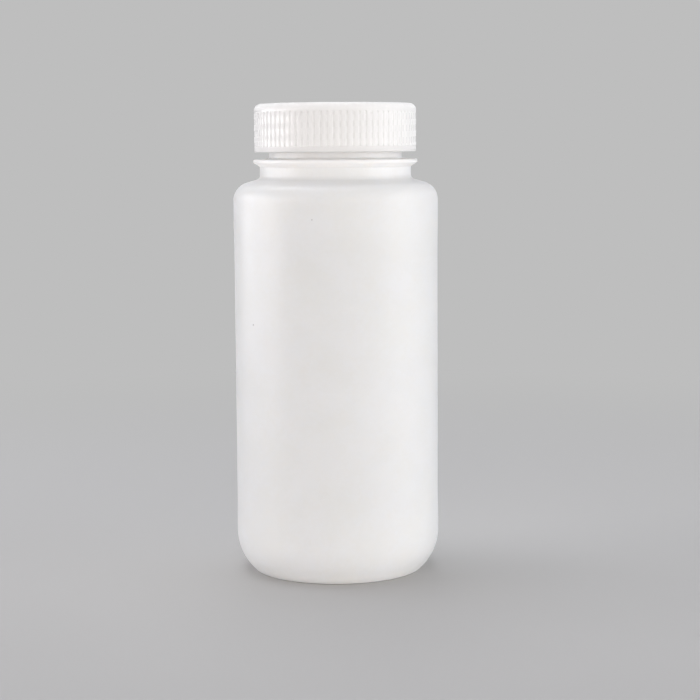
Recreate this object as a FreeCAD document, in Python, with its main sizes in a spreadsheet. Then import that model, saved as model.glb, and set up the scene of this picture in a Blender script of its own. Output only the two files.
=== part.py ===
import FreeCAD, Part
import math
import os

import Sketcher
from FreeCAD import Placement, Rotation, Vector

# Wide-mouth bottle with a screw cap, in millimetres.
# +Z is up along the bottle's axis, and the origin is the middle of the circle that it stands on.
# The bottle is blow-moulded, the cap and its thread are injection-moulded, and the liner is cut
# from foam sheet. Turning the cap anticlockwise, seen from above, lifts it off.

doc = FreeCAD.newDocument("wide_mouth_bottle")

# Driving dimensions
SIZES = [
    ("body_diameter", 74.5, "straight wall, outside"),
    ("base_corner_radius", 19.2, "large round between wall and base"),
    ("base_corner_sweep", 50.0, "how far that round turns before it meets the floor, in degrees"),
    ("foot_radius", 2.0, "small round at the edge that it stands on"),
    ("standing_width", 5.4, "flat ring between that edge and the hollow under the base"),
    ("pushup_depth", 3.0, "how far the hollow rises at the middle"),
    ("wall_top_height", 136.0, "height where the straight wall ends"),
    ("shoulder_radius", 6.7, "round between wall and shoulder"),
    ("shoulder_slope", 16.5, "slope of the shoulder, in degrees"),
    ("finish_diameter", 48.4, "neck above the bead, at the root of its thread"),
    ("finish_length", 17.2, "from the bead's top to the rim"),
    ("finish_wall", 1.8, "wall thickness there"),
    ("rim_round", 0.6, "round on the rim's outer edge"),
    ("neck_step", 3.3, "how much further out the plain neck under the bead lies"),
    ("neck_length", 4.2, "plain neck, from the shoulder's cone to the bead"),
    ("neck_fillet", 1.6, "hollow round between shoulder and neck"),
    ("bead_reach", 2.35, "how far the bead stands out from the plain neck"),
    ("bead_undercut", 40.0, "slope of the bead's underside, in degrees"),
    ("bead_land", 0.7, "upright edge of the bead"),
    ("bead_rise", 0.25, "how far the bead's top rises towards the neck"),
    ("bead_round", 0.3, "round on the bead's two edges"),
    ("body_wall", 1.3, "wall thickness below the bead"),
    ("base_wall", 1.6, "thickness of the base"),
    ("thread_pitch", 4.23, "rise of both threads in one turn"),
    ("thread_depth", 1.85, "height of the bottle's thread above its root"),
    ("thread_flank", 18.0, "slope of every thread flank, in degrees"),
    ("thread_crest", 1.3, "width of the bottle thread's crest"),
    ("thread_start_height", 4.0, "from the bead's top to the lowest crest"),
    ("thread_start_angle", 120.0, "where the bottle's thread begins, from +X, in degrees"),
    ("thread_top_gap", 2.2, "from the highest crest to the rim"),
    ("thread_root_overlap", 0.4, "how deep a thread's root runs into its wall"),
    ("thread_crest_gap", 0.5, "from the crest of either thread to the other piece"),
    ("thread_side_gap", 0.42, "between the flanks of the two threads, along the axis"),
    ("cap_thread_start", 1.6, "from the cap's lower edge to its thread's lowest crest"),
    ("cap_thread_top_gap", 3.0, "from the cap thread's highest crest to the rim"),
    ("cap_wall", 2.4, "cap wall, from its bore to the bottom of its grooves"),
    ("cap_top", 1.6, "thickness of the cap's top"),
    ("cap_corner_radius", 2.4, "round on the cap's top edge"),
    ("skirt_gap", 2.4, "from the bead's top to the cap's lower edge"),
    ("skirt_ring", 2.05, "height of the plain ring under the grooves"),
    ("skirt_round", 0.3, "round on the cap's lower edge"),
    ("groove_count", 80, "grip grooves around the cap"),
    ("groove_width", 0.7, "width of one groove"),
    ("groove_depth", 0.45, "depth of one groove"),
    ("groove_top", 3.3, "from the cap's top down to the grooves' upper end"),
    ("liner_thickness", 1.0, "foam liner"),
    ("liner_gap", 0.4, "from the liner's edge to the cap's bore"),
]

sheet = doc.addObject("Spreadsheet::Sheet", "dim")
for row, (alias, number, note) in enumerate(SIZES, start=1):
    sheet.set(f"A{row}", alias)
    sheet.set(f"B{row}", str(number))
    sheet.set(f"C{row}", note)
    sheet.setAlias(f"B{row}", alias)
doc.recompute()

# Places worked out from the driving dimensions, as expressions on the sheet
BODY_R = "dim.body_diameter / 2"
CORNER_R = f"({BODY_R} - dim.base_corner_radius)"
WALL_FOOT_Z = "(dim.base_corner_radius * sin(dim.base_corner_sweep))"
FOOT_R = f"({CORNER_R} + dim.base_corner_radius * cos(dim.base_corner_sweep))"
DISH_EDGE_R = f"({FOOT_R} - dim.standing_width)"
DISH_R = f"(({DISH_EDGE_R} ^ 2 + dim.pushup_depth ^ 2) / (2 * dim.pushup_depth))"
FINISH_R = "dim.finish_diameter / 2"
MOUTH_R = f"({FINISH_R} - dim.finish_wall)"
NECK_R = f"({FINISH_R} + dim.neck_step)"
BEAD_R = f"({NECK_R} + dim.bead_reach)"
CONE_R = f"({BODY_R} - dim.shoulder_radius * (1 - sin(dim.shoulder_slope)))"
CONE_Z = "(dim.wall_top_height + dim.shoulder_radius * cos(dim.shoulder_slope))"
NECK_Z = f"({CONE_Z} + ({CONE_R} - {NECK_R}) * tan(dim.shoulder_slope))"
BEAD_Z = f"({NECK_Z} + dim.neck_length)"
BEAD_EDGE_Z = f"({BEAD_Z} + dim.bead_reach * tan(dim.bead_undercut))"
BEAD_LAND_Z = f"({BEAD_EDGE_Z} + dim.bead_land)"
BEAD_TOP_Z = f"({BEAD_LAND_Z} + dim.bead_rise)"
RIM_Z = f"({BEAD_TOP_Z} + dim.finish_length)"
CREST_R = f"({FINISH_R} + dim.thread_depth)"
CAP_BORE_R = f"({CREST_R} + dim.thread_crest_gap)"
CAP_CREST_R = f"({FINISH_R} + dim.thread_crest_gap)"
GROOVE_R = f"({CAP_BORE_R} + dim.cap_wall)"
CAP_R = f"({GROOVE_R} + dim.groove_depth)"
SKIRT_Z = f"({BEAD_TOP_Z} + dim.skirt_gap)"
RING_Z = f"({SKIRT_Z} + dim.skirt_ring)"
LINER_TOP_Z = f"({RIM_Z} + dim.liner_thickness)"
CAP_TOP_Z = f"({LINER_TOP_Z} + dim.cap_top)"

# Points closer together than this are the same point
POINT_TOLERANCE = 0.001


def value(expression):
    """Number that an expression on the sheet gives, in millimetres or degrees."""
    return float(sheet.evalExpression(expression))


def new_body(name):
    body = doc.addObject("PartDesign::Body", name)
    body.Label = name
    return body


def origin_feature(body, role):
    return next(item for item in body.Origin.OriginFeatures if item.Role == role)


def crown_of(start, end, radius, side):
    """Middle of an arc from start to end that bulges to the right (1) or left (-1) of its chord."""
    chord = end - start
    right = Vector(chord.y, -chord.x, 0).normalize()
    rise = radius - math.sqrt(radius ** 2 - (chord.Length / 2) ** 2)
    return (start + end) / 2 + right * side * rise


def section(body, name, corners, arcs=None, turned=None):
    """Closed outline on the body's XZ plane, through corners of (name, radius, height).

    Each corner's two coordinates are bound to the sheet. arcs gives the radius and the bulging side
    of the edge that leaves a named corner. turned is the plane's own angle about Z.
    """
    arcs = arcs or {}
    sketch = body.newObject("Sketcher::SketchObject", name)
    sketch.AttachmentSupport = (origin_feature(body, "XZ_Plane"), [""])
    sketch.MapMode = "FlatFace"
    if turned:
        sketch.AttachmentOffset = Placement(Vector(), Rotation(Vector(0, 1, 0), value(turned)))
        sketch.setExpression("AttachmentOffset.Rotation.Angle", turned)

    points = [Vector(value(r), value(z), 0) for _, r, z in corners]
    first_ends = []
    for index, (label, _, _) in enumerate(corners):
        start, end = points[index], points[(index + 1) % len(points)]
        if label in arcs:
            radius, side = arcs[label]
            sketch.addGeometry(Part.Arc(start, crown_of(start, end, value(radius), side), end), False)
        else:
            sketch.addGeometry(Part.LineSegment(start, end), False)
        stored_forwards = sketch.getPoint(index, 1).distanceToPoint(start) < POINT_TOLERANCE
        first_ends.append(1 if stored_forwards else 2)

    def bind(kind, label, arguments, expression):
        number = sketch.addConstraint(Sketcher.Constraint(kind, *arguments, value(expression)))
        sketch.renameConstraint(number, label)
        sketch.setExpression(f"Constraints.{label}", expression)

    for index, (label, r, z) in enumerate(corners):
        here = (index, first_ends[index])
        before = (index - 1) % len(corners)
        sketch.addConstraint(Sketcher.Constraint("Coincident", before, 3 - first_ends[before], *here))
        for kind, expression, axis_line in (("DistanceX", r, -2), ("DistanceY", z, -1)):
            if expression == "0":
                sketch.addConstraint(Sketcher.Constraint("PointOnObject", *here, axis_line))
            else:
                bind(kind, f"{label}_{kind}", (-1, 1, *here), expression)
        if label in arcs:
            bind("Radius", f"{label}_radius", (index,), arcs[label][0])
    doc.recompute()
    return sketch


def turn(body, kind, name, sketch):
    """Revolution or Groove of a section about the bottle's axis."""
    feature = body.newObject(f"PartDesign::{kind}", name)
    feature.Profile = sketch
    feature.ReferenceAxis = (sketch, ["V_Axis"])
    feature.Angle = 360
    doc.recompute()
    return feature


def ring_edge(feature, radius, height):
    """Name of the feature's circular edge at a radius and height."""
    wanted = (value(radius), value(height))
    for index, edge in enumerate(feature.Shape.Edges, start=1):
        if edge.Degenerated or not isinstance(edge.Curve, Part.Circle):
            continue
        if math.dist((edge.Curve.Radius, edge.Curve.Center.z), wanted) < POINT_TOLERANCE:
            return f"Edge{index}"
    raise ValueError(f"{feature.Name} has no edge at {radius}, {height}")


def round_off(body, name, radius, rings):
    base = body.Tip
    feature = body.newObject("PartDesign::Fillet", name)
    feature.Base = (base, [ring_edge(base, r, z) for r, z in rings])
    feature.setExpression("Radius", radius)
    doc.recompute()
    return feature


def thread(body, name, sketch, climb):
    """Right-hand ridge that climbs from its section by a given height."""
    feature = body.newObject("PartDesign::AdditiveHelix", name)
    feature.Profile = sketch
    feature.ReferenceAxis = (sketch, ["V_Axis"])
    feature.Mode = "pitch-height-angle"
    feature.setExpression("Pitch", "dim.thread_pitch")
    feature.setExpression("Height", climb)
    feature.LeftHanded = False
    doc.recompute()
    return feature


def make_bottle():
    body = new_body("bottle")
    outline = section(body, "bottle_outline", [
        ("dish_top", "0", "dim.pushup_depth"),
        ("dish_edge", DISH_EDGE_R, "0"),
        ("foot", FOOT_R, "0"),
        ("wall_foot", BODY_R, WALL_FOOT_Z),
        ("wall_top", BODY_R, "dim.wall_top_height"),
        ("cone_foot", CONE_R, CONE_Z),
        ("neck_foot", NECK_R, NECK_Z),
        ("neck_top", NECK_R, BEAD_Z),
        ("bead_edge", BEAD_R, BEAD_EDGE_Z),
        ("bead_land", BEAD_R, BEAD_LAND_Z),
        ("bead_top", FINISH_R, BEAD_TOP_Z),
        ("rim", FINISH_R, RIM_Z),
        ("axis_top", "0", RIM_Z),
    ], arcs={
        "dish_top": (DISH_R, -1),
        "foot": ("dim.base_corner_radius", 1),
        "wall_top": ("dim.shoulder_radius", 1),
    })
    turn(body, "Revolution", "moulding", outline)
    round_off(body, "foot_round", "dim.foot_radius", [(FOOT_R, "0")])
    round_off(body, "neck_round", "dim.neck_fillet", [(NECK_R, NECK_Z)])
    round_off(body, "bead_round", "dim.bead_round", [(BEAD_R, BEAD_EDGE_Z), (BEAD_R, BEAD_LAND_Z)])
    round_off(body, "rim_round", "dim.rim_round", [(FINISH_R, RIM_Z)])

    inner_r = f"({BODY_R} - dim.body_wall)"
    inner_corner = "(dim.base_corner_radius - dim.body_wall)"
    inner_shoulder = "(dim.shoulder_radius - dim.body_wall)"
    inner_dish = f"({DISH_R} + dim.base_wall)"
    floor_z = f"(dim.pushup_depth - {DISH_R} + sqrt({inner_dish} ^ 2 - {DISH_EDGE_R} ^ 2))"
    floor_r = f"({CORNER_R} + sqrt({inner_corner} ^ 2 - ({WALL_FOOT_Z} - {floor_z}) ^ 2))"
    inner_cone_r = f"({inner_r} - {inner_shoulder} * (1 - sin(dim.shoulder_slope)))"
    inner_cone_z = f"(dim.wall_top_height + {inner_shoulder} * cos(dim.shoulder_slope))"
    inner_neck_r = f"({NECK_R} - dim.body_wall)"
    inner_neck_z = f"({inner_cone_z} + ({inner_cone_r} - {inner_neck_r}) * tan(dim.shoulder_slope))"
    inner_mouth_z = f"({BEAD_Z} + {inner_neck_r} - {MOUTH_R})"
    cavity = section(body, "cavity_outline", [
        ("floor_middle", "0", "dim.pushup_depth + dim.base_wall"),
        ("floor_rim", DISH_EDGE_R, floor_z),
        ("floor_edge", floor_r, floor_z),
        ("wall_foot", inner_r, WALL_FOOT_Z),
        ("wall_top", inner_r, "dim.wall_top_height"),
        ("cone_foot", inner_cone_r, inner_cone_z),
        ("neck_foot", inner_neck_r, inner_neck_z),
        ("neck_top", inner_neck_r, BEAD_Z),
        ("mouth_foot", MOUTH_R, inner_mouth_z),
        ("mouth_top", MOUTH_R, RIM_Z),
        ("axis_top", "0", RIM_Z),
    ], arcs={
        "floor_middle": (inner_dish, -1),
        "floor_edge": (inner_corner, 1),
        "wall_top": (inner_shoulder, 1),
    })
    turn(body, "Groove", "cavity", cavity)

    root = f"({FINISH_R} - dim.thread_root_overlap)"
    start_z = f"({BEAD_TOP_Z} + dim.thread_start_height)"
    half_crest = "(dim.thread_crest / 2)"
    half_root = f"({half_crest} + dim.thread_depth * tan(dim.thread_flank))"
    ridge = section(body, "thread_outline", [
        ("inner_low", root, f"{start_z} - {half_root}"),
        ("root_low", FINISH_R, f"{start_z} - {half_root}"),
        ("crest_low", CREST_R, f"{start_z} - {half_crest}"),
        ("crest_high", CREST_R, f"{start_z} + {half_crest}"),
        ("root_high", FINISH_R, f"{start_z} + {half_root}"),
        ("inner_high", root, f"{start_z} + {half_root}"),
    ], turned="dim.thread_start_angle")
    climb = "(dim.finish_length - dim.thread_start_height - dim.thread_top_gap)"
    thread(body, "neck_thread", ridge, climb)
    return body


def make_cap():
    body = new_body("cap")
    outline = section(body, "cap_outline", [
        ("axis_low", "0", LINER_TOP_Z),
        ("ceiling", CAP_BORE_R, LINER_TOP_Z),
        ("skirt_inner", CAP_BORE_R, SKIRT_Z),
        ("skirt_outer", CAP_R, SKIRT_Z),
        ("top_edge", CAP_R, CAP_TOP_Z),
        ("axis_high", "0", CAP_TOP_Z),
    ])
    turn(body, "Revolution", "moulding", outline)
    round_off(body, "top_round", "dim.cap_corner_radius", [(CAP_R, CAP_TOP_Z)])
    round_off(body, "skirt_round", "dim.skirt_round", [(CAP_R, SKIRT_Z), (CAP_BORE_R, SKIRT_Z)])

    # Half a turn away from the bottle's thread, the cap's lies midway between its turns. A start that
    # is higher up is also further round.
    bottle_half = f"(dim.thread_crest / 2 + ({CREST_R} - {CAP_CREST_R}) * tan(dim.thread_flank))"
    start_z = f"({SKIRT_Z} + dim.cap_thread_start)"
    ahead = f"({start_z} - {BEAD_TOP_Z} - dim.thread_start_height)"
    outer = f"({CAP_BORE_R} + dim.thread_root_overlap)"
    half_crest = f"(dim.thread_pitch / 2 - dim.thread_side_gap - {bottle_half})"
    half_root = f"({half_crest} + dim.thread_depth * tan(dim.thread_flank))"
    ridge = section(body, "cap_thread_outline", [
        ("crest_high", CAP_CREST_R, f"{start_z} + {half_crest}"),
        ("crest_low", CAP_CREST_R, f"{start_z} - {half_crest}"),
        ("root_low", CAP_BORE_R, f"{start_z} - {half_root}"),
        ("outer_low", outer, f"{start_z} - {half_root}"),
        ("outer_high", outer, f"{start_z} + {half_root}"),
        ("root_high", CAP_BORE_R, f"{start_z} + {half_root}"),
    ], turned=f"dim.thread_start_angle + 180 + 360 * {ahead} / dim.thread_pitch")
    climb = f"({RIM_Z} - {start_z} - dim.cap_thread_top_gap)"
    thread(body, "cap_thread", ridge, climb)

    groove_end = f"({CAP_TOP_Z} - dim.groove_top)"
    past = f"({CAP_R} + dim.groove_depth)"
    slot = section(body, "groove_outline", [
        ("bottom_inner", GROOVE_R, RING_Z),
        ("bottom_outer", past, RING_Z),
        ("top_outer", past, f"{groove_end} + 2 * dim.groove_depth"),
        ("top_inner", GROOVE_R, groove_end),
    ])
    groove = body.newObject("PartDesign::Pocket", "groove")
    groove.Profile = slot
    groove.Midplane = True
    groove.setExpression("Length", "dim.groove_width")
    doc.recompute()
    grooves = body.newObject("PartDesign::PolarPattern", "grooves")
    grooves.Originals = [groove]
    grooves.Axis = (origin_feature(body, "Z_Axis"), [""])
    grooves.Angle = 360
    grooves.setExpression("Occurrences", "dim.groove_count")
    body.Tip = grooves
    doc.recompute()
    return body


def make_liner():
    body = new_body("liner")
    edge_r = f"({CAP_BORE_R} - dim.liner_gap)"
    outline = section(body, "liner_outline", [
        ("axis_low", "0", RIM_Z),
        ("edge_low", edge_r, RIM_Z),
        ("edge_high", edge_r, LINER_TOP_Z),
        ("axis_high", "0", LINER_TOP_Z),
    ])
    turn(body, "Revolution", "disc", outline)
    return body


parts = [make_bottle(), make_cap(), make_liner()]

for item in doc.Objects:
    if "Invalid" in item.State or "Error" in item.State:
        raise RuntimeError(f"{item.Name} failed: {item.State}")

os.makedirs("parts", exist_ok=True)
for part in parts:
    shape = part.Shape
    if shape.isNull() or not shape.isValid() or len(shape.Solids) != 1:
        raise RuntimeError(f"{part.Label} is not one valid solid")
    shape.exportStep(f"parts/{part.Label}.step")
    print(part.Label, round(shape.Volume / 1000, 2), "cm3,", len(shape.Faces), "faces")
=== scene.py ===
import math

import bmesh
import bpy
from mathutils import Matrix, Vector


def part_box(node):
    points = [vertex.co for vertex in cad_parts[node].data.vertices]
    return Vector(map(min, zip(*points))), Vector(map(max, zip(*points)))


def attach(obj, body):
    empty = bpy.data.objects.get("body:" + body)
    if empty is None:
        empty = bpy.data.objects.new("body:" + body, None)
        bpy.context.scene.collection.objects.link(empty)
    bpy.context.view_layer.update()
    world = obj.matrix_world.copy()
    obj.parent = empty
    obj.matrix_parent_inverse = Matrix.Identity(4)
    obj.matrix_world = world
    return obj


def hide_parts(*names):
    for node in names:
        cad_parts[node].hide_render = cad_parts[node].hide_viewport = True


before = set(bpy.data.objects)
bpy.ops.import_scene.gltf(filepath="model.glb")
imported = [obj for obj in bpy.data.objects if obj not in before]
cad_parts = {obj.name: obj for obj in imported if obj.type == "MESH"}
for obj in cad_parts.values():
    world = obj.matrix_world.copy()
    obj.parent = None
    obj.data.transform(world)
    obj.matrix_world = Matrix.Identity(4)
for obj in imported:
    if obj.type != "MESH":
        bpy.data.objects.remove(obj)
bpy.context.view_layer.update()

MM = 0.001

# Bottle: one extrusion blow-moulded piece of opaque white high-density polyethylene. The mould gives
# the outside its shape and a fine satin skin; the neck's thread and bead are formed by the same
# mould. The wall between shoulder and base is a label panel, very slightly smaller than both.
BOTTLE_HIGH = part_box("bottle")[1]
BODY_R = BOTTLE_HIGH.x
RIM_Z = BOTTLE_HIGH.z
BASE_CORNER_R = 19.2 * MM
BASE_CORNER_SWEEP = 50
FOOT_ROUND = 2.0 * MM
STANDING_WIDTH = 5.4 * MM
PUSHUP_DEPTH = 3.0 * MM
PUSHUP_SHORT_OF = 0.3
RING_INNER_ROWS = (0.5 * MM, 1.2 * MM)
RING_OUTER_ROW = 0.4 * MM
WALL_TOP_Z = 136.0 * MM
SHOULDER_R = 6.7 * MM
SHOULDER_SLOPE = math.radians(16.5)
PANEL_DEPTH = 0.13 * MM
PANEL_LOW = (18 * MM, 30 * MM)
PANEL_HIGH = (118 * MM, 129 * MM)
WALL_ROWS = 48
NECK_R = 27.5 * MM
NECK_ROUND = 1.6 * MM
BEAD_R = 29.85 * MM
BEAD_UNDERCUT = math.radians(40)
BEAD_LAND = 0.7 * MM
BEAD_RISE = 0.25 * MM
BEAD_NOSE = 0.5 * MM
BEAD_ROUND = 0.5 * MM
BEAD_FOOT_ROUND = 0.5 * MM
FINISH_LENGTH = 17.2 * MM
BEAD_TOP_Z = RIM_Z - FINISH_LENGTH
BEAD_EDGE_Z = BEAD_TOP_Z - BEAD_RISE - BEAD_LAND
BEAD_Z = BEAD_EDGE_Z - (BEAD_R - NECK_R) * math.tan(BEAD_UNDERCUT)
THREADED_FROM_Z = BEAD_TOP_Z + 1.5 * BEAD_FOOT_ROUND
FINISH_R = 24.2 * MM
FINISH_WALL = 1.8 * MM
RIM_ROUND = 0.6 * MM
BODY_WALL = 1.3 * MM
BASE_WALL = 1.6 * MM
INNER_MOUTH_ROUND = 1.5 * MM
INNER_NECK_ROUND = 2.0 * MM
INNER_SLOPE_IN = 4.0 * MM
INNER_SLOPE_DOWN = 0.6 * MM
THREAD_PITCH = 4.23 * MM
THREAD_DEPTH = 1.85 * MM
THREAD_FLANK = math.radians(18)
THREAD_CREST = 1.3 * MM
THREAD_CLIMB = 11.0 * MM
THREAD_START_Z = BEAD_TOP_Z + 4.0 * MM
THREAD_START_ANGLE = math.radians(120)
THREAD_ROUND = 0.28 * MM
THREAD_RUN_OUT = 0.05
BOTTLE_COLUMNS = 240
NO_ROWS = (1, 0)
WELD = 0.0001 * MM
SHARP_ANGLE = math.radians(40)
FULL_TURN = 2 * math.pi


def arc(centre_r, centre_z, radius, start, end, steps=8):
    """Points (radius, height) along an arc, with both ends in degrees from outwards, turning up."""
    angles = [math.radians(start + (end - start) * step / steps) for step in range(steps + 1)]
    return [(centre_r + radius * math.cos(a), centre_z + radius * math.sin(a)) for a in angles]


def rounded(corners, steps=4):
    """Outline through corners of (radius, height, round), each corner with that round cut on it."""
    outline = []
    for index, (r, z, size) in enumerate(corners):
        here = Vector((r, z))
        if not size:
            outline.append((r, z))
            continue
        to_last = (Vector(corners[index - 1][:2]) - here).normalized()
        to_next = (Vector(corners[index + 1][:2]) - here).normalized()
        half = to_last.angle(to_next) / 2
        centre = here + (to_last + to_next).normalized() * size / math.sin(half)
        first = here + to_last * size / math.tan(half) - centre
        last = here + to_next * size / math.tan(half) - centre
        swing = first.angle_signed(last)
        for step in range(steps + 1):
            turned = Matrix.Rotation(-swing * step / steps, 2) @ first
            outline.append(tuple(centre + turned))
    return outline


def smooth(low, high, x):
    """0 below low, 1 above high, and a soft step between."""
    share = min(max((x - low) / (high - low), 0), 1)
    return share * share * (3 - 2 * share)


def ridge_shape(crest, depth, round_off):
    """Half-open outline of a thread's ridge as (offset along the axis, height above the root)."""
    half_crest = crest / 2
    half_root = half_crest + depth * math.tan(THREAD_FLANK)
    run = 2 * round_off
    corners = [(-half_root - run, 0, 0), (-half_root, 0, round_off), (-half_crest, depth, round_off),
               (half_crest, depth, round_off), (half_root, 0, round_off), (half_root + run, 0, 0)]
    return rounded(corners, steps=3)


def threaded_wall(around, wall_r, inward, edges, thread_start_z, climb, ridge):
    """One column of a threaded wall, as points (radius, height) between the wall's two edges.

    around is how far round the column is from the thread's start, 0 to 1. Every turn's ridge has its
    points in every column, so the rows follow the helix; those outside the wall lie on its edge.
    The ridge fades in and out at the thread's two ends.
    """
    low, high = edges
    reach = ridge[-1][0]
    lowest = math.floor((low - reach - thread_start_z) / THREAD_PITCH) - 1
    highest = math.ceil((high + reach - thread_start_z) / THREAD_PITCH) + 1
    points = []
    for turn in range(lowest, highest):
        travelled = turn + around
        fade_in = smooth(0, THREAD_RUN_OUT, travelled)
        fade_out = smooth(0, THREAD_RUN_OUT, climb / THREAD_PITCH - travelled)
        for offset, height in ridge:
            z = min(max(thread_start_z + THREAD_PITCH * travelled + offset, low), high)
            points.append((wall_r + inward * height * fade_in * fade_out, z))
    return points


def add_turned_faces(mesh, angles, columns, thread_rows=NO_ROWS, rows_per_turn=0):
    """Adds one surface of revolution to a bmesh and returns its vertices, column by column.

    Where the last column meets the first, the rows of a thread join one turn further on.
    """
    points = [[mesh.verts.new((r * math.cos(angle), r * math.sin(angle), z)) for r, z in column]
              for angle, column in zip(angles, columns)]
    first_row, last_row = thread_rows
    straight = list(range(len(columns[0])))
    shifted = [max(first_row, min(row + rows_per_turn, last_row)) if first_row <= row <= last_row else row
               for row in straight]
    for index, column in enumerate(points):
        beside = points[(index + 1) % len(points)]
        rows = straight if index + 1 < len(points) else shifted
        for row in range(len(column) - 1):
            corners = [column[row], beside[rows[row]], beside[rows[row + 1]], column[row + 1]]
            mesh.faces.new(dict.fromkeys(corners))
    return points


def finished_piece(name, mesh, body, node):
    """Welds a bmesh, makes it a smooth-shaded object in a CAD node's place, and lets it ride."""
    bmesh.ops.remove_doubles(mesh, verts=mesh.verts, dist=WELD)
    bmesh.ops.dissolve_degenerate(mesh, edges=mesh.edges, dist=WELD)
    data = bpy.data.meshes.new(name)
    mesh.to_mesh(data)
    mesh.free()
    data.shade_smooth()
    data.set_sharp_from_angle(angle=SHARP_ANGLE)
    piece = bpy.data.objects.new(name, data)
    bpy.context.scene.collection.objects.link(piece)
    even = piece.modifiers.new("even_shading", "WEIGHTED_NORMAL")
    even.keep_sharp = True
    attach(piece, body)
    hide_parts(node)
    return piece


def bottle_outside():
    """The bottle's outside from the middle of the base up to its thread, as points (radius, height)."""
    corner_r = BODY_R - BASE_CORNER_R
    corner_z = BASE_CORNER_R * math.sin(math.radians(BASE_CORNER_SWEEP))
    dish_edge = corner_r + BASE_CORNER_R * math.cos(math.radians(BASE_CORNER_SWEEP)) - STANDING_WIDTH
    dish_r = (dish_edge ** 2 + PUSHUP_DEPTH ** 2) / (2 * PUSHUP_DEPTH)
    dish_edge_angle = math.degrees(math.acos(dish_edge / dish_r))
    outline = arc(0, PUSHUP_DEPTH - dish_r, dish_r, 90, dish_edge_angle + PUSHUP_SHORT_OF, steps=14)

    foot_drop = math.asin((corner_z - FOOT_ROUND) / (BASE_CORNER_R - FOOT_ROUND))
    foot_r = corner_r + (BASE_CORNER_R - FOOT_ROUND) * math.cos(foot_drop)
    foot_angle = -math.degrees(foot_drop)
    outline += [(dish_edge + out, 0) for out in RING_INNER_ROWS]
    outline.append((foot_r - RING_OUTER_ROW, 0))
    outline += arc(foot_r, FOOT_ROUND, FOOT_ROUND, -90, foot_angle, steps=6)
    outline += arc(corner_r, corner_z, BASE_CORNER_R, foot_angle, 0, steps=20)[1:]

    for row in range(1, WALL_ROWS):
        z = corner_z + (WALL_TOP_Z - corner_z) * row / WALL_ROWS
        sunk = PANEL_DEPTH * smooth(*PANEL_LOW, z) * (1 - smooth(*PANEL_HIGH, z))
        outline.append((BODY_R - sunk, z))

    cone_angle = 90 - math.degrees(SHOULDER_SLOPE)
    outline += arc(BODY_R - SHOULDER_R, WALL_TOP_Z, SHOULDER_R, 0, cone_angle, steps=14)
    cone_r, cone_z = outline[-1]
    neck_z = cone_z + (cone_r - NECK_R) * math.tan(SHOULDER_SLOPE)
    outline += rounded([
        (cone_r, cone_z, 0),
        (NECK_R, neck_z, NECK_ROUND),
        (NECK_R, BEAD_Z, BEAD_FOOT_ROUND),
        (BEAD_R, BEAD_EDGE_Z - BEAD_NOSE, BEAD_ROUND),
        (BEAD_R, BEAD_EDGE_Z + BEAD_LAND, BEAD_ROUND),
        (FINISH_R, BEAD_TOP_Z, BEAD_FOOT_ROUND),
        (FINISH_R, THREADED_FROM_Z, 0),
    ], steps=5)[1:]
    return outline


def bottle_inside():
    """The bottle's inside from the rim down to the middle of the floor, as points (radius, height).

    INNER_SLOPE_IN and INNER_SLOPE_DOWN set its slope lower than the outside's.
    """
    mouth_r = FINISH_R - FINISH_WALL
    neck_r = NECK_R - BODY_WALL
    wall_r = BODY_R - BODY_WALL - PANEL_DEPTH
    cone_z = WALL_TOP_Z + (SHOULDER_R - BODY_WALL) * math.cos(SHOULDER_SLOPE)
    slope_out = wall_r - neck_r - INNER_SLOPE_IN
    floor_z = PUSHUP_DEPTH + BASE_WALL
    corner_z = BASE_CORNER_R * math.sin(math.radians(BASE_CORNER_SWEEP))
    corner_r = BODY_R - BASE_CORNER_R
    round_r = wall_r - corner_r
    foot_angle = -math.degrees(math.asin((corner_z - floor_z) / round_r))
    upper = rounded([
        (FINISH_R, RIM_Z, RIM_ROUND),
        (mouth_r, RIM_Z, RIM_ROUND / 2),
        (mouth_r, BEAD_Z + neck_r - mouth_r, INNER_MOUTH_ROUND),
        (neck_r, BEAD_Z, INNER_MOUTH_ROUND),
        (neck_r, cone_z + slope_out * math.tan(SHOULDER_SLOPE), INNER_NECK_ROUND),
        (wall_r, cone_z - INNER_SLOPE_DOWN, SHOULDER_R - BODY_WALL),
        (wall_r, corner_z, 0),
    ], steps=8)
    return upper + arc(corner_r, corner_z, round_r, 0, foot_angle, steps=12)[1:] + [(0, floor_z)]


thread_ridge = ridge_shape(THREAD_CREST, THREAD_DEPTH, THREAD_ROUND)
outside = bottle_outside()
inside = bottle_inside()
neck_edges = (THREADED_FROM_Z, RIM_Z - RIM_ROUND)
bottle_columns = []
for index in range(BOTTLE_COLUMNS):
    thread = threaded_wall(index / BOTTLE_COLUMNS, FINISH_R, 1, neck_edges,
                           THREAD_START_Z, THREAD_CLIMB, thread_ridge)
    bottle_columns.append(outside + thread + inside)
bottle_angles = [THREAD_START_ANGLE + FULL_TURN * index / BOTTLE_COLUMNS for index in range(BOTTLE_COLUMNS)]
bottle_mesh = bmesh.new()
add_turned_faces(bottle_mesh, bottle_angles, bottle_columns,
                 (len(outside), len(outside) + len(thread) - 1), len(thread_ridge))
bottle = finished_piece("moulded_bottle", bottle_mesh, "bottle", "bottle")


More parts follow.
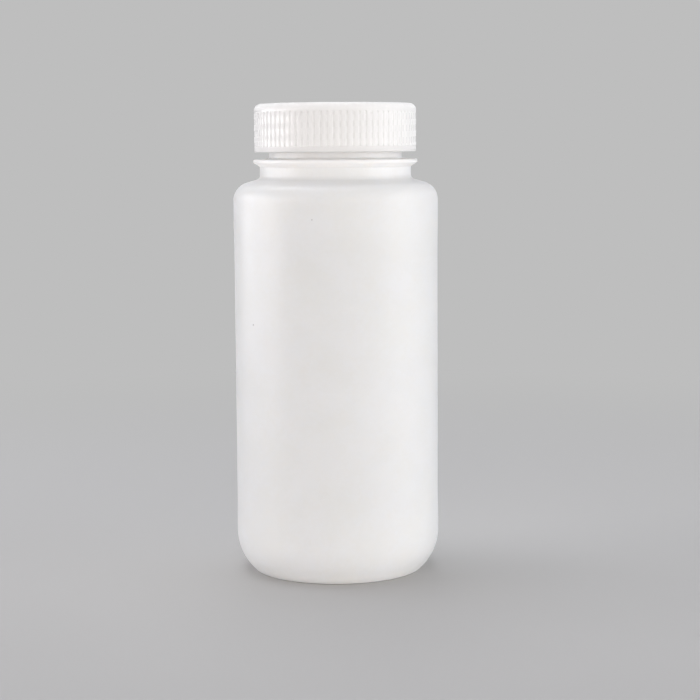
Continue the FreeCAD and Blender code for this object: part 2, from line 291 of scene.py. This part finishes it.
class Paint:
    """A socket in a material's nodes. Arithmetic on it adds Math nodes, and node() adds any other."""

    def __init__(self, tree, socket=None):
        self.tree = tree
        self.socket = socket

    def node(self, kind, settings=None, sockets=None, result=0):
        made = self.tree.nodes.new(kind)
        for name, setting in (settings or {}).items():
            setattr(made, name, setting)
        self.feed(made, sockets or {})
        return Paint(self.tree, made.outputs[result])

    def feed(self, made, sockets):
        for name, given in sockets.items():
            if isinstance(given, Paint):
                self.tree.links.new(given.socket, made.inputs[name])
            else:
                made.inputs[name].default_value = given

    def maths(self, operation, *values):
        return self.node("ShaderNodeMath", {"operation": operation}, dict(enumerate(values)))

    def __add__(self, other):
        return self.maths("ADD", self, other)

    def __sub__(self, other):
        return self.maths("SUBTRACT", self, other)

    def __rsub__(self, other):
        return self.maths("SUBTRACT", other, self)

    def __mul__(self, other):
        return self.maths("MULTIPLY", self, other)

    def __truediv__(self, other):
        return self.maths("DIVIDE", self, other)

    __radd__ = __add__
    __rmul__ = __mul__

    def step(self, low, high):
        """0 where the value is under low, 1 where it is over high, with a soft edge."""
        settings = {"interpolation_type": "SMOOTHSTEP"}
        return self.node("ShaderNodeMapRange", settings, {"Value": self, "From Min": low, "From Max": high})

    def blend(self, first, second):
        """Colour that goes from first to second as this value goes from 0 to 1.

        Sockets 6 and 7 are the Mix node's two colours, and result 2 is the mixed one.
        """
        sockets = {"Factor": self, 6: first, 7: second}
        return self.node("ShaderNodeMix", {"data_type": "RGBA"}, sockets, result=2)


def new_material(name):
    """A material and a Paint for its node tree, with the Principled shader that Blender gives it."""
    made = bpy.data.materials.new(name)
    made.use_nodes = True
    return made, Paint(made.node_tree)


def shade(made, paint, sockets):
    """Sets or links the sockets of the material's Principled shader."""
    paint.feed(made.node_tree.nodes["Principled BSDF"], sockets)


def linear(red, green, blue):
    """Colour as a shader wants it, from levels of 0 to 255 as a picture shows them."""
    shares = [level / 255 for level in (red, green, blue)]
    return (*[x / 12.92 if x <= 0.04045 else ((x + 0.055) / 1.055) ** 2.4 for x in shares], 1)


def on_wall(azimuth, height):
    """Point of the bottle's straight wall at an azimuth in degrees from -Y towards +X."""
    turn = math.radians(azimuth)
    return (BODY_R * math.sin(turn), -BODY_R * math.cos(turn), height)


SPECKS = [(on_wall(-11.8, 130.2 * MM), 0.24 * MM), (on_wall(-51.9, 92.5 * MM), 0.39 * MM),
          (on_wall(39.2, 90.6 * MM), 0.14 * MM)]
WHITE = linear(249, 248, 247)
CREAM = linear(247, 245, 242)
SPECK_GREY = linear(196, 193, 190)
SPECK_EDGE = (0.6, 1.1)
CLOUD_EDGE = (0.35, 0.65)
SKIN_GRAIN = 0.02 * MM

plastic, paint = new_material("white_polyethylene")
place = paint.node("ShaderNodeTexCoord", result=3)
clouds = paint.node("ShaderNodeTexNoise", sockets={"Vector": place, "Scale": 55.0, "Detail": 2.0})
mottling = paint.node("ShaderNodeTexNoise", sockets={"Vector": place, "Scale": 700.0, "Detail": 3.0})
skin = paint.node("ShaderNodeTexNoise", sockets={"Vector": place, "Scale": 2600.0, "Detail": 2.0})
white = (0.7 * clouds + 0.3 * mottling).step(*CLOUD_EDGE).blend(WHITE, CREAM)
for centre, size in SPECKS:
    off_centre = paint.node("ShaderNodeVectorMath", {"operation": "SUBTRACT"}, {0: place, 1: centre})
    distance = paint.node("ShaderNodeVectorMath", {"operation": "LENGTH"}, {0: off_centre}, result=1)
    white = (1 - (distance / size).step(*SPECK_EDGE)).blend(white, SPECK_GREY)
moulded_skin = paint.node("ShaderNodeBump", sockets={
    "Strength": 0.25, "Distance": SKIN_GRAIN, "Height": 0.6 * mottling + 0.4 * skin})
shade(plastic, paint, {
    "Base Color": white,
    "Roughness": 0.29 + 0.06 * mottling,
    "IOR": 1.5,
    "Subsurface Weight": 1.0,
    "Subsurface Radius": (1.0, 0.95, 0.9),
    "Subsurface Scale": 3.0 * MM,
    "Normal": moulded_skin,
})
bottle.data.materials.append(plastic)


# Cap: one injection-moulded piece of natural polypropylene, which is milky but lets light through, so
# the turns of thread show through it; here that is a painted glow, lighter bands in its colour between
# its own thread turns. Its grip is a ring of fine upright grooves above a plain ring, and its own thread
# runs inside the skirt, between the turns of the bottle's.
CAP_LOW, CAP_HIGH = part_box("cap")
CAP_R = 29.4 * MM
CAP_BORE_R = 26.55 * MM
CAP_CREST_R = 24.7 * MM
CAP_CORNER_R = 2.4 * MM
SKIRT_Z = CAP_LOW.z
CAP_TOP_Z = CAP_HIGH.z
CAP_CEILING_Z = CAP_TOP_Z - 1.6 * MM
SKIRT_RING = 2.05 * MM
SKIRT_ROUND = 0.3 * MM
RING_EDGE = 0.1 * MM
RING_STEP = 0.08 * MM
GRIP_FOOT = 0.3 * MM
CEILING_ROUND = 0.5 * MM
CEILING_ROW_R = 10 * MM
PLAIN_UNDER_CEILING = 0.8 * MM
GROOVE_COUNT = 80
GROOVE_DEPTH = 0.28 * MM
GROOVE_TOP_Z = CAP_TOP_Z - 3.3 * MM
SCALLOP_DEPTH = 0.09 * MM
GRIP_CROWN = 0.05 * MM
GROOVE_PITCH = 360 / GROOVE_COUNT
HALF_PITCH = GROOVE_PITCH / 2
CROWN_FROM = 0.3
SCALLOP_RISE = (0, 0.4)
SCALLOP_FADE = (0.93, 1)
SCALLOP_DROP = 0.4
GROOVE_FLOOR = 0.45
GROOVE_EDGE = 0.95
ONE_GROOVE = (-1.5, -1.15, -0.95, -0.70, -0.45, 0, 0.45, 0.70, 0.95, 1.15, 1.5, 2.25)
BORE_LINKS = (0, 5, 10)
GRIP_ROWS = (0.25, 0.5, 0.75, 0.94, 1)
GROOVE_END_ROWS = (0.3, 0.6, 0.85, 1)
TOP_ROWS = (1 * MM, 8 * MM, 18 * MM)
CAP_THREAD_CREST = 1.2 * MM
CAP_THREAD_START_Z = SKIRT_Z + 1.6 * MM
CAP_THREAD_CLIMB = 10.2 * MM
CAP_THREAD_START_ANGLE = THREAD_START_ANGLE + math.pi


def cap_outside(from_groove):
    """One column of the cap's outside, from skirt to top, at an angle in degrees from a groove."""
    groove = 1 - smooth(GROOVE_FLOOR, GROOVE_EDGE, abs(from_groove))
    across = abs(from_groove) / HALF_PITCH
    crown = GRIP_CROWN * (1 - smooth(CROWN_FROM, 1, across)) * (1 - groove)
    ring_top = SKIRT_Z + SKIRT_RING
    rows = [(0, SKIRT_Z + SKIRT_ROUND), (0, SKIRT_Z + SKIRT_RING / 2), (0, ring_top - RING_EDGE),
            (0, ring_top), (1, ring_top + RING_STEP), (1, ring_top + GRIP_FOOT)]
    rows += [(1, ring_top + (GROOVE_TOP_Z - ring_top) * share) for share in GRIP_ROWS]
    rows += [(1 - share, GROOVE_TOP_Z + GROOVE_DEPTH * share) for share in GROOVE_END_ROWS]
    outline = []
    for share, z in rows:
        above_ring = smooth(ring_top, ring_top + RING_STEP, z)
        below_corner = 1 - smooth(GROOVE_TOP_Z, CAP_TOP_Z - CAP_CORNER_R, z)
        outline.append((CAP_R - GROOVE_DEPTH * groove * share - crown * above_ring * below_corner, z))
    scallop = 1 - smooth(0, 1, across)
    corner = arc(CAP_R - CAP_CORNER_R, CAP_TOP_Z - CAP_CORNER_R, CAP_CORNER_R, 0, 90, steps=12)
    for r, z in corner:
        turned = (z - corner[0][1]) / CAP_CORNER_R
        dent = SCALLOP_DEPTH * scallop * smooth(*SCALLOP_RISE, turned) * (1 - smooth(*SCALLOP_FADE, turned))
        outline.append((r - dent, z - SCALLOP_DROP * dent))
    outline += [(CAP_R - CAP_CORNER_R - inward, CAP_TOP_Z) for inward in TOP_ROWS]
    return outline + [(0, CAP_TOP_Z)]


def cap_inside(around, ridge):
    """One column of the cap's inside, from the middle of its ceiling down to the skirt's lower edge."""
    edges = (SKIRT_Z + SKIRT_ROUND, CAP_CEILING_Z - PLAIN_UNDER_CEILING)
    wall = threaded_wall(around, CAP_BORE_R, -1, edges, CAP_THREAD_START_Z, CAP_THREAD_CLIMB, ridge)
    ceiling = [(0, CAP_CEILING_Z), (CEILING_ROW_R, CAP_CEILING_Z)]
    ceiling.append((CAP_BORE_R - 4 * CEILING_ROUND, CAP_CEILING_Z))
    ceiling += arc(CAP_BORE_R - CEILING_ROUND, CAP_CEILING_Z - CEILING_ROUND, CEILING_ROUND, 90, 0, steps=3)
    edge = arc(CAP_BORE_R + SKIRT_ROUND, SKIRT_Z + SKIRT_ROUND, SKIRT_ROUND, 180, 270, steps=3)
    return ceiling + wall[::-1] + edge, (len(ceiling), len(ceiling) + len(wall) - 1)


def outer_column(bore_column):
    """Number of the outer column that a bore column joins at the skirt's lower edge."""
    groove, link = divmod(bore_column, len(BORE_LINKS))
    return groove * len(ONE_GROOVE) + BORE_LINKS[link]


cap_mesh = bmesh.new()
cap_ridge = ridge_shape(CAP_THREAD_CREST, CAP_BORE_R - CAP_CREST_R, THREAD_ROUND)
outer_angles = [CAP_THREAD_START_ANGLE + math.radians(groove * GROOVE_PITCH + offset - ONE_GROOVE[0])
                for groove in range(GROOVE_COUNT) for offset in ONE_GROOVE]
skirt_edge = arc(CAP_R - SKIRT_ROUND, SKIRT_Z + SKIRT_ROUND, SKIRT_ROUND, -90, 0, steps=3)[:-1]
outer_columns = [skirt_edge + cap_outside(offset) for offset in ONE_GROOVE] * GROOVE_COUNT
outer_points = add_turned_faces(cap_mesh, outer_angles, outer_columns)

bore_count = GROOVE_COUNT * len(BORE_LINKS)
bore_columns = []
for index in range(bore_count):
    column, bore_thread = cap_inside(index / bore_count, cap_ridge)
    bore_columns.append(column)
bore_angles = [CAP_THREAD_START_ANGLE + FULL_TURN * index / bore_count for index in range(bore_count)]
bore_points = add_turned_faces(cap_mesh, bore_angles, bore_columns, bore_thread, -len(cap_ridge))

for index in range(bore_count):
    following = (index + 1) % bore_count
    first = outer_column(index)
    last = outer_column(following)
    if last < first:
        last += len(outer_points)
    rim = [outer_points[number % len(outer_points)][0] for number in range(first, last + 1)]
    cap_mesh.faces.new([bore_points[index][-1], bore_points[following][-1], *reversed(rim)])
cap = finished_piece("moulded_cap", cap_mesh, "cap", "cap")

MILKY = linear(237, 237, 237)
# Painted light: a lighter colour between the cap's thread turns, a painted glow of the bottle's lit white
# thread behind the wall.
PAINTED_THREAD_GLOW = linear(241, 241, 241)
RING_ALPHA = 0.93
TURN_EDGE = (0.2, 0.27)
LAND_EDGE = (0.8, 1.15)
MASK_EDGE = 0.3 * MM
LINER_HIDES = (CAP_CEILING_Z - 1.1 * MM, CAP_CEILING_Z - 0.7 * MM)
cap_plastic, paint = new_material("natural_polypropylene")
place = paint.node("ShaderNodeTexCoord", result=3)
haze = paint.node("ShaderNodeTexNoise", sockets={"Vector": place, "Scale": 180.0, "Detail": 3.0})
grain = paint.node("ShaderNodeTexNoise", sockets={"Vector": place, "Scale": 1800.0, "Detail": 2.0})
across, along, height = [paint.node("ShaderNodeSeparateXYZ", sockets={"Vector": place}, result=axis)
                         for axis in range(3)]
turn = across.maths("ARCTAN2", along, across) * math.degrees(1)
from_groove = turn.maths("PINGPONG", turn, HALF_PITCH)
turned_by = (turn - math.degrees(CAP_THREAD_START_ANGLE)) / 360
travelled = (height - CAP_THREAD_START_Z) / THREAD_PITCH - turned_by
between_turns = turn.maths("PINGPONG", travelled, 0.5).step(*TURN_EDGE)
ribbed = height.step(SKIRT_Z + SKIRT_RING, SKIRT_Z + SKIRT_RING + MASK_EDGE)
under_top = 1 - height.step(*LINER_HIDES)
above_grooves = height.step(GROOVE_TOP_Z, GROOVE_TOP_Z + MASK_EDGE)
flat = (from_groove.step(*LAND_EDGE) + above_grooves).step(0, 1)
# Painted glow: the colour is lighter between the cap's thread turns, where the bottle's lit white thread
# sits behind the wall, and is kept off the top.
milky = (between_turns * under_top).blend(MILKY, PAINTED_THREAD_GLOW)
cap_skin = paint.node("ShaderNodeBump", sockets={"Strength": 0.2, "Distance": SKIN_GRAIN, "Height": grain})
shade(cap_plastic, paint, {
    "Base Color": milky,
    "Roughness": 0.5 + 0.06 * haze,
    "IOR": 1.49,
    "Alpha": RING_ALPHA + (1 - RING_ALPHA) * ribbed,
    "Coat Weight": between_turns * under_top * ribbed * flat,
    "Coat Roughness": 0.1,
    "Coat IOR": 1.6,
    "Subsurface Weight": 1.0,
    "Subsurface Radius": (1.0, 1.0, 1.0),
    "Subsurface Scale": 3.0 * MM,
    "Normal": cap_skin,
})
cap.data.materials.append(cap_plastic)


# Liner: a disc cut from foamed polyethylene sheet. It lies in the cap and seals on the bottle's rim,
# with a faint ring pressed into its underside by the rim.
LINER_LOW, LINER_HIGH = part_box("liner")
LINER_R = LINER_HIGH.x
CUT_ROUND = 0.12 * MM
PRESSED_DEPTH = 0.06 * MM
PRESSED_MARGIN = 0.5 * MM
LINER_ROW_R = 12 * MM
LINER_COLUMNS = 160

liner_outline = [(0, LINER_LOW.z), (LINER_ROW_R, LINER_LOW.z)]
liner_outline.append((FINISH_R - FINISH_WALL - PRESSED_MARGIN, LINER_LOW.z))
liner_outline.append((FINISH_R - FINISH_WALL / 2, LINER_LOW.z + PRESSED_DEPTH))
liner_outline.append((FINISH_R + PRESSED_MARGIN, LINER_LOW.z))
liner_outline += arc(LINER_R - CUT_ROUND, LINER_LOW.z + CUT_ROUND, CUT_ROUND, -90, 0, steps=3)
liner_outline += arc(LINER_R - CUT_ROUND, LINER_HIGH.z - CUT_ROUND, CUT_ROUND, 0, 90, steps=3)
liner_outline += [(LINER_ROW_R, LINER_HIGH.z), (0, LINER_HIGH.z)]
liner_mesh = bmesh.new()
liner_angles = [FULL_TURN * index / LINER_COLUMNS for index in range(LINER_COLUMNS)]
add_turned_faces(liner_mesh, liner_angles, [liner_outline] * LINER_COLUMNS)
liner = finished_piece("foam_liner", liner_mesh, "liner", "liner")

PORE_SHADE = linear(232, 231, 228)
FOAM_WHITE = linear(245, 245, 243)
PORE_EDGE = (0.1, 0.6)
PORE_DEPTH = 0.05 * MM

foam, paint = new_material("polyethylene_foam")
place = paint.node("ShaderNodeTexCoord", result=3)
cells = paint.node("ShaderNodeTexVoronoi", sockets={"Vector": place, "Scale": 2200.0})
pores = cells.step(*PORE_EDGE)
foam_bump = paint.node("ShaderNodeBump", sockets={"Strength": 0.5, "Distance": PORE_DEPTH, "Height": cells})
shade(foam, paint, {
    "Base Color": pores.blend(PORE_SHADE, FOAM_WHITE),
    "Roughness": 0.8 + 0.1 * pores,
    "Normal": foam_bump,
})
liner.data.materials.append(foam)


# Studio: a pale grey floor that curves up into a backdrop, large soft lights at both sides, above, behind
# and in front, and the camera where the photograph's outline puts it. The floor fades into plain grey
# away from the bottle.
FLOOR_HALF = 2.4
FLOOR_FRONT_ROW = -0.5
SWEEP_Y = 1.1
SWEEP_R = 0.9
WALL_Z = 2.6
FADE = (0.17, 0.6)
FAR_GREY = linear(190, 190, 190)
CARD_GREY = linear(190, 190, 190)
CARD_FIBRE = linear(193, 193, 193)
ROOM_LIGHT = (0.09, 0.093, 0.1, 1)
CAMERA_RAY, GLOSSY_RAY, CLEAR_RAY = 0, 3, 6


def sweep_outline():
    """Floor and backdrop seen from the side, as points (distance behind the bottle, height)."""
    curve = arc(SWEEP_Y, SWEEP_R, SWEEP_R, -90, 0, steps=32)
    return [(-FLOOR_HALF, 0), (FLOOR_FRONT_ROW, 0), (0, 0), *curve, (SWEEP_Y + SWEEP_R, WALL_Z)]


backdrop_mesh = bmesh.new()
left, right = [[backdrop_mesh.verts.new((x, y, z)) for y, z in sweep_outline()]
               for x in (-FLOOR_HALF, FLOOR_HALF)]
for row in range(len(left) - 1):
    backdrop_mesh.faces.new([left[row], right[row], right[row + 1], left[row + 1]])
backdrop_data = bpy.data.meshes.new("backdrop")
backdrop_mesh.to_mesh(backdrop_data)
backdrop_mesh.free()
backdrop_data.shade_smooth()
backdrop = bpy.data.objects.new("backdrop", backdrop_data)
bpy.context.scene.collection.objects.link(backdrop)

card, paint = new_material("grey_card")
place = paint.node("ShaderNodeTexCoord", result=3)
fibres = paint.node("ShaderNodeTexNoise", sockets={"Vector": place, "Scale": 900.0, "Detail": 3.0})
shade(card, paint, {
    "Base Color": fibres.blend(CARD_GREY, CARD_FIBRE),
    "Roughness": 0.9,
    "Specular IOR Level": 0.2,
})


def seen_rays(paint):
    """1 for rays from the camera, or from a glossy or clear surface, and 0 for rays that light things."""
    rays = [paint.node("ShaderNodeLightPath", result=ray) for ray in (CAMERA_RAY, GLOSSY_RAY, CLEAR_RAY)]
    return (rays[0] + rays[1] + rays[2]).step(0, 0.5)


far_off = paint.node("ShaderNodeVectorMath", {"operation": "LENGTH"}, {0: place}, result=1).step(*FADE)
plain_grey = paint.node("ShaderNodeEmission", sockets={"Color": FAR_GREY, "Strength": 1.0})
card_shader = Paint(card.node_tree, card.node_tree.nodes["Principled BSDF"].outputs[0])
seen_far_off = far_off * seen_rays(paint)
faded = paint.node("ShaderNodeMixShader", sockets={0: seen_far_off, 1: card_shader, 2: plain_grey})
paint.feed(card.node_tree.nodes["Material Output"], {"Surface": faded})
backdrop_data.materials.append(card)

world = bpy.data.worlds.new("room")
world.use_nodes = True
room = Paint(world.node_tree)
around = seen_rays(room).blend(ROOM_LIGHT, FAR_GREY)
room.feed(world.node_tree.nodes["Background"], {"Color": around, "Strength": 1.0})
bpy.context.scene.world = world

AIM = Vector((0, 0, 0.09))


def soft_light(name, azimuth, elevation, distance, size, radiance, colour, mirrored=True):
    """Soft box aimed at the bottle. Azimuth is from -Y towards +X, and radiance is 1 for plain white.

    A box that isn't mirrored lights the bottle without showing as a reflection in its skin.
    """
    width, height = size
    lamp = bpy.data.lights.new(name, "AREA")
    lamp.shape = "RECTANGLE"
    lamp.size = width
    lamp.size_y = height
    lamp.color = colour
    lamp.energy = radiance * math.pi * width * height
    placed = bpy.data.objects.new(name, lamp)
    placed.visible_glossy = mirrored
    turn, rise = math.radians(azimuth), math.radians(elevation)
    way = Vector((math.sin(turn) * math.cos(rise), -math.cos(turn) * math.cos(rise), math.sin(rise)))
    placed.location = AIM + way * distance
    placed.rotation_mode = "QUATERNION"
    placed.rotation_quaternion = way.to_track_quat("Z", "Y")
    bpy.context.scene.collection.objects.link(placed)


soft_light("left_box", azimuth=-97, elevation=4, distance=1.0, size=(1.0, 0.9),
           radiance=2.8, colour=(0.97, 0.97, 1))
soft_light("left_front_box", azimuth=-70, elevation=3, distance=1.2, size=(0.6, 0.7),
           radiance=2.0, colour=(1, 0.9, 0.86))
soft_light("right_box", azimuth=74, elevation=10, distance=0.9, size=(0.6, 0.7),
           radiance=1.05, colour=(0.96, 0.97, 1))
soft_light("right_wash", azimuth=94, elevation=5, distance=1.05, size=(2.3, 0.9),
           radiance=1.4, colour=(0.935, 0.955, 1), mirrored=False)
soft_light("top_box", azimuth=-150, elevation=77, distance=1.0, size=(0.8, 0.8),
           radiance=2.6, colour=(0.98, 0.97, 1))
soft_light("back_left_box", azimuth=-155, elevation=50, distance=1.1, size=(0.8, 0.6),
           radiance=0.75, colour=(0.97, 0.99, 0.95))
soft_light("back_box", azimuth=165, elevation=55, distance=1.1, size=(1.0, 0.6),
           radiance=0.6, colour=(0.97, 0.99, 1))
soft_light("front_fill", azimuth=22, elevation=11.5, distance=2.0, size=(2.8, 0.6),
           radiance=2.8, colour=(1, 0.95, 0.9), mirrored=False)
soft_light("front_low_strip", azimuth=10, elevation=2.5, distance=2.0, size=(2.8, 0.22),
           radiance=8.4, colour=(1, 0.94, 0.89), mirrored=False)

# The camera's place comes from the outline of cap, bead, shoulder and base in the photograph.
CAMERA_PLACE = Vector((0.01206, -0.68578, 0.1568))
CAMERA_PITCH = math.radians(6.323)
CAMERA_TURN = math.radians(0.6)
CAMERA_ROLL = math.radians(-0.378)
LENS = 96.4
camera_data = bpy.data.cameras.new("camera")
camera_data.lens = LENS
camera_data.sensor_width = 36
camera_data.clip_start = 0.05
camera_data.clip_end = 20
camera = bpy.data.objects.new("camera", camera_data)
upright = Matrix.Rotation(math.radians(90) - CAMERA_PITCH, 4, "X") @ Matrix.Rotation(CAMERA_ROLL, 4, "Z")
camera.matrix_world = Matrix.Translation(CAMERA_PLACE) @ Matrix.Rotation(CAMERA_TURN, 4, "Z") @ upright
bpy.context.scene.collection.objects.link(camera)
bpy.context.scene.camera = camera

bpy.context.scene.view_settings.view_transform = "Standard"
# White plastic hands light on many times over, and in the narrow gap under the cap that is what shows.
bpy.context.scene.cycles.diffuse_bounces = 12
